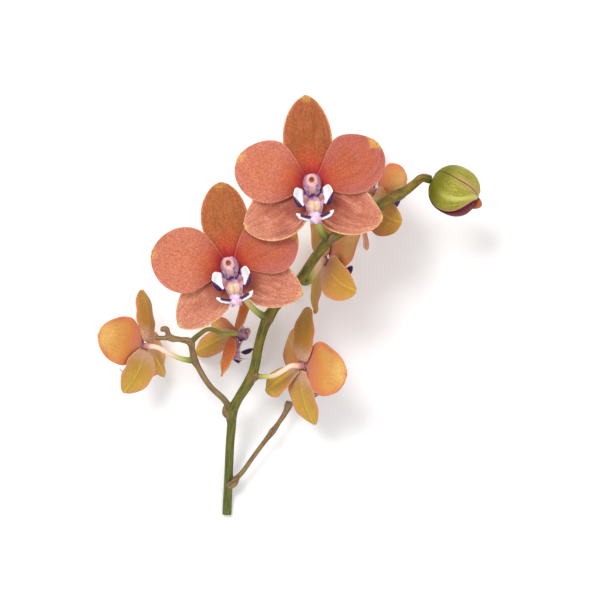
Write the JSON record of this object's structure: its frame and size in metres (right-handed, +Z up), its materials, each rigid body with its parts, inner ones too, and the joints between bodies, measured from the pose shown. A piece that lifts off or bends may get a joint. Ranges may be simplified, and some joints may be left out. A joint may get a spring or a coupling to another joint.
{
  "type": "moth orchid stem",
  "caption": "Cut flower spray lying on its side: an arching stem with open five-petalled moth orchid blooms, a spent branch and a closed round bud at its tip.",
  "frame": {"origin": "middle of the spray's bounding box, on the surface it lies on", "axes": "+Z up from the surface; +Y roughly along the stem from its cut end towards the flowers; +X towards the side where the stem's tip and its bud arch over"},
  "size_m": [0.1667, 0.1834, 0.0794],
  "materials": {
    "stem": "satin green plant stem, purple-brown on the side branch, pale at the flower stalks",
    "petal": "soft salmon-orange petal with fine veins, golden on its back",
    "sepal": "soft ochre-orange sepal with a pale rim, olive-gold on its back with a yellow keel",
    "lip": "waxy white lip with deep purple lower edges and a cream, brown-specked callus",
    "column": "waxy mauve column with a pink-rimmed ochre hollow",
    "bud_sepal": "satin lime-green bud sepal with a pinkish blush along its seam",
    "bud_petal": "satin dark crimson petal edge"
  },
  "bodies": {
    "root": {"bloom_a_dorsal_sepal": "sepal", "bloom_a_left_petal": "petal", "bloom_a_right_petal": "petal", "bloom_a_left_sepal": "sepal", "bloom_a_right_sepal": "sepal", "bloom_a_lip": "lip", "bloom_a_column": "column", "bloom_b_dorsal_sepal": "sepal", "bloom_b_left_petal": "petal", "bloom_b_right_petal": "petal", "bloom_b_left_sepal": "sepal", "bloom_b_right_sepal": "sepal", "bloom_b_lip": "lip", "bloom_b_column": "column", "bloom_c_dorsal_sepal": "sepal", "bloom_c_left_petal": "petal", "bloom_c_right_petal": "petal", "bloom_c_left_sepal": "sepal", "bloom_c_right_sepal": "sepal", "bloom_c_lip": "lip", "bloom_c_column": "column", "bloom_d_dorsal_sepal": "sepal", "bloom_d_left_petal": "petal", "bloom_d_right_petal": "petal", "bloom_d_left_sepal": "sepal", "bloom_d_right_sepal": "sepal", "bloom_d_lip": "lip", "bloom_d_column": "column", "bloom_e_dorsal_sepal": "sepal", "bloom_e_left_petal": "petal", "bloom_e_right_petal": "petal", "bloom_e_left_sepal": "sepal", "bloom_e_right_sepal": "sepal", "bloom_e_lip": "lip", "bloom_e_column": "column", "bloom_f_dorsal_sepal": "sepal", "bloom_f_left_petal": "petal", "bloom_f_right_petal": "petal", "bloom_f_left_sepal": "sepal", "bloom_f_right_sepal": "sepal", "bloom_f_lip": "lip", "bloom_f_column": "column", "bloom_g_dorsal_sepal": "sepal", "bloom_g_left_petal": "petal", "bloom_g_right_petal": "petal", "bloom_g_left_sepal": "sepal", "bloom_g_right_sepal": "sepal", "bloom_g_lip": "lip", "bloom_g_column": "column", "flower_spike": "stem", "bud_dorsal_sepal": "bud_sepal", "bud_left_sepal": "bud_sepal", "bud_right_sepal": "bud_sepal", "bud_petals": "bud_petal"}
  },
  "joints": []
}
